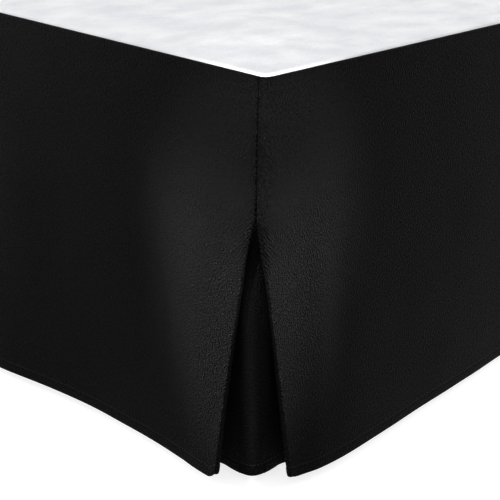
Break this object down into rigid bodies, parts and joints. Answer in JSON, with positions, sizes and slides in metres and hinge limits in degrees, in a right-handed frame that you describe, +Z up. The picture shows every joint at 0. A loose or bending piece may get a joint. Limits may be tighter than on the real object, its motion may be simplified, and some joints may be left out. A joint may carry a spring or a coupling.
{
  "type": "bed skirt on a box spring and bed frame",
  "caption": "Tailored bed skirt with plain drops and an inverted pleat at each foot corner, hung round a plain box spring on a low steel bed frame, open at the head.",
  "frame": {"origin": "middle of the whole object's bounding box, on the floor", "axes": "+X across the bed, to the right seen from its foot; +Y along it, from foot to head; +Z up"},
  "size_m": [1.5553, 2.0508, 0.362],
  "materials": {
    "skirt_cloth": "matt black woven cloth with a fine slub",
    "deck_cloth": "soft white cloth, faintly blue",
    "ticking": "plain pale ticking",
    "frame_steel": "dark grey powder coat",
    "glide_plastic": "matt black"
  },
  "bodies": {
    "root": {"deck": "deck_cloth", "drop_foot": "skirt_cloth", "drop_right": "skirt_cloth", "drop_left": "skirt_cloth", "pleat_insert_right": "skirt_cloth", "pleat_insert_left": "skirt_cloth", "box_spring": "ticking", "rail_left": "frame_steel", "rail_right": "frame_steel", "cross_rail_foot": "frame_steel", "cross_rail_mid": "frame_steel", "cross_rail_head": "frame_steel", "leg_foot_left": "frame_steel", "leg_foot_centre": "frame_steel", "leg_foot_right": "frame_steel", "leg_mid_left": "frame_steel", "leg_mid_centre": "frame_steel", "leg_mid_right": "frame_steel", "leg_head_left": "frame_steel", "leg_head_centre": "frame_steel", "leg_head_right": "frame_steel", "glide_foot_left": "glide_plastic", "glide_foot_centre": "glide_plastic", "glide_foot_right": "glide_plastic", "glide_mid_left": "glide_plastic", "glide_mid_centre": "glide_plastic", "glide_mid_right": "glide_plastic", "glide_head_left": "glide_plastic", "glide_head_centre": "glide_plastic", "glide_head_right": "glide_plastic"}
  },
  "joints": []
}
